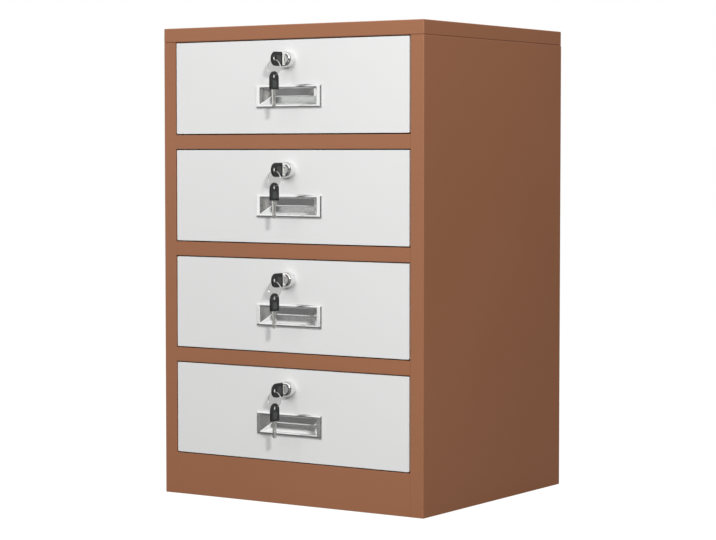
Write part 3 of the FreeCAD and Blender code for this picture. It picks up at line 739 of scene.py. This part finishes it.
def lock_case():
    """Turned head and barrel with the plug's bore, and the fixing nut behind the front sheet."""
    middle = (0, LOCK_Z)
    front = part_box("lock_case_1")[0].y
    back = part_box("lock_case_1")[1].y
    case = rod("turned_lock_case", HEAD_RADIUS, front + DOME_RISE, FACE_Y, middle, LOCK_SIDES)
    pick(case, "FACE", facing_front)
    roll_over(DOME_WIDTH, DOME_RISE, True, DOME_STEPS)
    pick(case, "EDGE", at_depth(FACE_Y))
    round_off(HEAD_BACK_ROUND, SMALL_STEPS)
    pick(case, "FACE", facing_back)
    bpy.ops.mesh.inset(thickness=HEAD_RADIUS - HEAD_BACK_ROUND - BARREL_RADIUS)
    bpy.ops.mesh.extrude_region_move(TRANSFORM_OT_translate={"value": (0, back - FACE_Y, 0)})
    bore = rod("cutter", PLUG_RADIUS + PLUG_PLAY, front - MM, back + MM, middle, LOCK_SIDES)
    take_away(case, bore)
    break_edges(case, LOCK_EDGE)

    # The nut, a hexagon measured across its flats
    nut_front = FACE_Y + FRONT_SHEET
    nut_back = nut_front + NUT_THICKNESS
    flat_to_corner = math.radians(30)
    corner_radius = NUT_ACROSS / 2 / math.cos(flat_to_corner)
    nut = rod("nut", corner_radius, nut_front, nut_back, middle, 6, flat_to_corner)
    hole_radius = BARREL_RADIUS + PLUG_PLAY
    hole_back = nut_front + 2 * NUT_THICKNESS
    hole = rod("cutter", hole_radius, nut_front - MM, hole_back, middle, LOCK_SIDES)
    take_away(nut, hole)
    break_edges(nut, NUT_EDGE)
    join_to(case, [nut])
    smooth(case, TURNED_ANGLE)
    return case


def lock_plug():
    """Turning core with its keyway, and the square stub that drives the cam."""
    plug = sheet_from("lock_plug_1", "turning_plug")
    pick(plug, "EDGE", at_depth(PLUG_LOW.y))
    round_off(LOCK_EDGE, 2)
    smooth(plug, TURNED_ANGLE)
    return plug


def key_bow():
    """Plastic grip: round at the far end, a sunk panel on each side and a hole for the ring."""
    half = BOW_THICKNESS / 2
    half_width = BOW_WIDTH / 2
    far = FACE_Y - BOW_FAR
    close = FACE_Y - BOW_NEAR
    bow = block("key_bow", (-half, far, LOCK_Z - half_width), (half, close, LOCK_Z + half_width))
    for depth, radius, steps in (
            (far, half_width * BOW_END_SHARE, BOW_END_STEPS), (close, BOW_CORNER, BEND_STEPS)):
        at_end = at_depth(depth)
        pick(bow, "EDGE", lambda a, b: at_end(a, b) and not near(a.x, b.x))
        round_off(radius, steps)
    for side in (-1, 1):
        inner, outer = side * (half - PANEL_DEPTH), side * (half + MM)
        low = (min(inner, outer), FACE_Y - PANEL_FAR, LOCK_Z - PANEL_WIDTH / 2)
        high = (max(inner, outer), FACE_Y - PANEL_NEAR, LOCK_Z + PANEL_WIDTH / 2)
        panel = block("cutter", low, high)
        pick(panel, "EDGE", along_x)
        round_off(PANEL_CORNER, BEND_STEPS)
        take_away(bow, panel)
    bpy.ops.mesh.primitive_cylinder_add(
        vertices=HOLE_SIDES, radius=BOW_HOLE, depth=4 * BOW_THICKNESS,
        location=(0, FACE_Y - BOW_HOLE_AT, LOCK_Z), rotation=(0, math.radians(90), 0))
    take_away(bow, settle("cutter"))
    break_edges(bow, BOW_EDGE)
    smooth(bow, TURNED_ANGLE)
    return bow


def grip_panel():
    """The lighter insert that fills the floor of both sunk panels of a bow."""
    half = BOW_THICKNESS / 2 - PANEL_INSET
    low = (-half, FACE_Y - PANEL_FAR, LOCK_Z - PANEL_WIDTH / 2)
    high = (half, FACE_Y - PANEL_NEAR, LOCK_Z + PANEL_WIDTH / 2)
    panel = block("grip_panel", low, high)
    pick(panel, "EDGE", along_x)
    round_off(PANEL_CORNER, BEND_STEPS)
    smooth(panel, TURNED_ANGLE)
    return panel


def key_blade():
    """The steel blade of the CAD key, with a groove milled along each side."""
    hold(sheet_from("key_1", "key_blade"))
    bpy.ops.object.mode_set(mode="EDIT")
    bpy.ops.mesh.select_all(action="SELECT")
    bpy.ops.mesh.separate(type="LOOSE")
    put_down()
    loose = [thing for thing in bpy.data.objects if thing.name.startswith("key_blade")]
    loose.sort(key=lambda thing: thing.dimensions.x)
    blade = loose[0]
    for thing in loose[1:]:
        bpy.data.objects.remove(thing)
    blade.name = "key_blade"
    half = blade.dimensions.x / 2
    for side in (-1, 1):
        inner, outer = side * (half - GROOVE_DEPTH), side * (half + MM)
        low = (min(inner, outer), FACE_Y - GROOVE_FROM, LOCK_Z - GROOVE_LOW)
        high = (max(inner, outer), FACE_Y + GROOVE_PAST_FACE, LOCK_Z - GROOVE_HIGH)
        take_away(blade, block("cutter", low, high))
    break_edges(blade, BLADE_EDGE)
    smooth(blade, TURNED_ANGLE)
    return blade


def key_ring():
    """Closed wire ring, hanging from the hole of the bow."""
    low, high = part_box("key_ring_1")
    put_down()
    bpy.ops.mesh.primitive_torus_add(
        location=(low + high) / 2, rotation=(math.radians(90), 0, 0),
        major_radius=RING_RADIUS, minor_radius=RING_WIRE / 2,
        major_segments=RING_SIDES, minor_segments=WIRE_SIDES)
    ring = settle("wire_ring")
    smooth(ring, WIRE_ANGLE)
    return ring


def hanging():
    """Turns and moves a key from the lock to where the spare one hangs from the ring."""
    low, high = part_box("spare_key_1")
    ring_low, ring_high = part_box("key_ring_1")
    to_axis = Matrix.Translation((0, -FACE_Y, -LOCK_Z))
    down = Matrix.Rotation(math.radians(-90), 4, AROUND_X)
    place = Matrix.Translation((0, (ring_low.y + ring_high.y) / 2, high.z - BOW_FAR))
    return place @ down @ to_axis


def roller_pair(node, name):
    """Nylon rollers with rounded treads."""
    return plain_piece(node, name, ROLLER_EDGE, TURNED_ANGLE)


each_drawer(drawer_front(), "folded_front", light_grey, "drawer", "front_paint", "drawer_front")
tray = plain_piece("drawer_tray_1", "drawer_tray")
each_drawer(tray, "folded_tray", light_grey, "drawer", "front_paint", "drawer_tray")
runners = plain_piece("drawer_rails_1", "drawer_rails")
each_drawer(runners, "moving_runners", zinc, "drawer", "zinc_steel", "drawer_rails")
each_drawer(cup_handle(), "cup_handle", chrome, "drawer", "chrome", "handle")
each_drawer(lock_case(), "turned_lock_case", bright_chrome, "drawer", "chrome", "lock_case")
each_drawer(lock_plug(), "turning_plug", satin_chrome, "lock", "chrome", "lock_plug")
cam = plain_piece("lock_cam_1", "cam_arm", LOCK_EDGE, TURNED_ANGLE)
each_drawer(cam, "cam_arm", zinc, "lock", "zinc_steel", "lock_cam")

# The key in the lock, and the spare one that hangs from the ring
bow = key_bow()
panel = grip_panel()
blade = key_blade()
spare_bow = copy_of(bow, "spare_key_bow", hanging())
spare_panel = copy_of(panel, "spare_grip_panel", hanging())
spare_blade = copy_of(blade, "spare_key_blade", hanging())
each_drawer(bow, "key_bow", black_plastic, "key", "key_plastic", "key")
each_drawer(panel, "grip_panel", grey_plastic, "key", "key_plastic")
each_drawer(blade, "key_blade", blade_steel, "key", "bright_steel")
each_drawer(spare_bow, "spare_key_bow", black_plastic, "spare_key", "key_plastic", "spare_key")
each_drawer(spare_panel, "spare_grip_panel", grey_plastic, "spare_key", "key_plastic")
each_drawer(spare_blade, "spare_key_blade", blade_steel, "spare_key", "bright_steel")
each_drawer(key_ring(), "wire_ring", nickel, "key_ring", "bright_steel", "key_ring")

front_pair = roller_pair("front_rollers_1", "front_rollers")
each_drawer(
    front_pair, "front_nylon_rollers", white_nylon, "front_rollers", "nylon", "front_rollers")
rear_pair = roller_pair("rear_rollers_1", "rear_rollers")
each_drawer(rear_pair, "rear_nylon_rollers", white_nylon, "rear_rollers", "nylon", "rear_rollers")


# Studio: floor, world, cards, lamps and camera

# The floor glows only where it is looked at, and the fill is the world's even light
FLOOR_SIZE = 30.0
FLOOR_DROP = 0.5 * MM
FLOOR_GREY = 0.14
FLOOR_GLOW = 0.95
FILL = 0.39
# The lamps shine on the drawers' fronts, a little above their middle
AIM = Vector((0, FACE_Y, 0.45))

# The camera: focal length and sensor in millimetres, place, and how far it looks down and left
LENS = 112.9575
SENSOR_WIDTH = 36.0
CAMERA_PLACE = (1.88560, -2.86663, 0.51503)
LOOKS_DOWN = 3.0038
LOOKS_LEFT = 33.5102
FAR_LIMIT = 60.0


def seen_directly(tree):
    """A mask of the rays that come from the camera or from something mirror-like or clear."""
    path = tree.nodes.new("ShaderNodeLightPath")
    total = path.outputs["Is Camera Ray"]
    for kind in ("Is Glossy Ray", "Is Transmission Ray"):
        either = tree.nodes.new("ShaderNodeMath")
        either.operation = "MAXIMUM"
        tree.links.new(total, either.inputs[0])
        tree.links.new(path.outputs[kind], either.inputs[1])
        total = either.outputs["Value"]
    return total


def studio_floor():
    """A pale floor that shows white where it is lit, and keeps the cabinet's shadow."""
    put_down()
    bpy.ops.mesh.primitive_plane_add(size=FLOOR_SIZE, location=(0, 0, -FLOOR_DROP))
    floor = settle("studio_floor")
    material, tree, shader = new_finish("pale floor")
    shader.inputs["Base Color"].default_value = (FLOOR_GREY, FLOOR_GREY, FLOOR_GREY, 1)
    shader.inputs["Roughness"].default_value = 1.0
    shader.inputs["Specular IOR Level"].default_value = 0.0
    glow = tree.nodes.new("ShaderNodeEmission")
    strength = tree.nodes.new("ShaderNodeMath")
    strength.operation = "MULTIPLY"
    strength.inputs[1].default_value = FLOOR_GLOW
    both_lights = tree.nodes.new("ShaderNodeAddShader")
    tree.links.new(seen_directly(tree), strength.inputs[0])
    tree.links.new(strength.outputs["Value"], glow.inputs["Strength"])
    tree.links.new(shader.outputs["BSDF"], both_lights.inputs[0])
    tree.links.new(glow.outputs["Emission"], both_lights.inputs[1])
    tree.links.new(both_lights.outputs["Shader"], tree.nodes["Material Output"].inputs["Surface"])
    floor.data.materials.append(material)


def studio_world(fill):
    """White to look at, and a dimmer even fill for what it lights."""
    world = bpy.data.worlds.new("studio")
    bpy.context.scene.world = world
    world.use_nodes = True
    tree = world.node_tree
    dim = tree.nodes["Background"]
    dim.inputs["Color"].default_value = (1, 1, 1, 1)
    dim.inputs["Strength"].default_value = fill
    white = tree.nodes.new("ShaderNodeBackground")
    white.inputs["Color"].default_value = (1, 1, 1, 1)
    white.inputs["Strength"].default_value = 1.0
    mix = tree.nodes.new("ShaderNodeMixShader")
    tree.links.new(seen_directly(tree), mix.inputs["Fac"])
    tree.links.new(dim.outputs["Background"], mix.inputs[1])
    tree.links.new(white.outputs["Background"], mix.inputs[2])
    tree.links.new(mix.outputs["Shader"], tree.nodes["World Output"].inputs["Surface"])


def card(name, middle, size, turn, grey):
    """A grey card that is seen only in reflections, turned about its upright axis."""
    half = Vector(size) / 2
    middle = Vector(middle)
    block(name, middle - half, middle + half)
    bpy.ops.transform.rotate(value=-math.radians(turn), orient_axis="Z", center_override=middle)
    piece = settle(name)
    material, tree, shader = new_finish(name.replace("_", " "))
    shader.inputs["Base Color"].default_value = (grey, grey, grey, 1)
    shader.inputs["Roughness"].default_value = 1.0
    shader.inputs["Specular IOR Level"].default_value = 0.0
    piece.data.materials.append(material)
    piece.visible_camera = False
    piece.visible_diffuse = False
    piece.visible_shadow = False
    piece.visible_transmission = False


def lamp(name, turn, height, distance, wide, tall, power, mirrored=False):
    """A soft box that shines on the cabinet; its turn is from straight ahead, to the right.
    Only a mirrored one shows in polished metal."""
    turn, height = math.radians(turn), math.radians(height)
    level = math.cos(height)
    away = Vector((math.sin(turn) * level, -math.cos(turn) * level, math.sin(height)))
    light = bpy.data.lights.new(name, "AREA")
    light.shape = "RECTANGLE"
    light.size = wide
    light.size_y = tall
    light.energy = power
    box = bpy.data.objects.new(name, light)
    bpy.context.scene.collection.objects.link(box)
    box.location = AIM + away * distance
    box.rotation_euler = (-away).to_track_quat("-Z", "Y").to_euler()
    box.visible_glossy = mirrored


def photograph_camera():
    """The camera of the picture: a long lens, level with the upper drawers, to the right."""
    camera = bpy.data.cameras.new("camera")
    camera.sensor_width = SENSOR_WIDTH
    camera.lens = LENS
    camera.clip_end = FAR_LIMIT
    eye = bpy.data.objects.new("camera", camera)
    bpy.context.scene.collection.objects.link(eye)
    eye.location = CAMERA_PLACE
    eye.rotation_euler = (math.radians(90 - LOOKS_DOWN), 0, math.radians(LOOKS_LEFT))
    bpy.context.scene.camera = eye


studio_floor()
studio_world(FILL)

# Grey cards: middle and size in metres, turn in degrees, shade
card("right_flag", (1.8, 0.7, 1.0), (5.6, 0.02, 2.0), 115, 0.08)
card("camera_flag", (1.5, -2.85, 0.65), (3.2, 0.02, 1.3), 30, 0.11)
card("floor_flag", (0.3, 0.3, -0.0002), (5.4, 5.4, 0.0002), 0, FLOOR_GREY)

# Lamps: turn and height in degrees, distance, width and height of the box in metres, watts
lamp("key light", 45.0, 20.0, 3.4, 0.24, 0.24, 54.0, mirrored=True)
lamp("front soft box", -2.0, 38.0, 3.8, 2.6, 1.8, 76.0)
lamp("side soft box", 82.0, 45.0, 2.6, 1.2, 1.2, 13.0)
lamp("back soft box", 205.0, 40.0, 2.6, 1.6, 1.6, 24.0)
photograph_camera()
bpy.context.scene.view_settings.view_transform = "Standard"
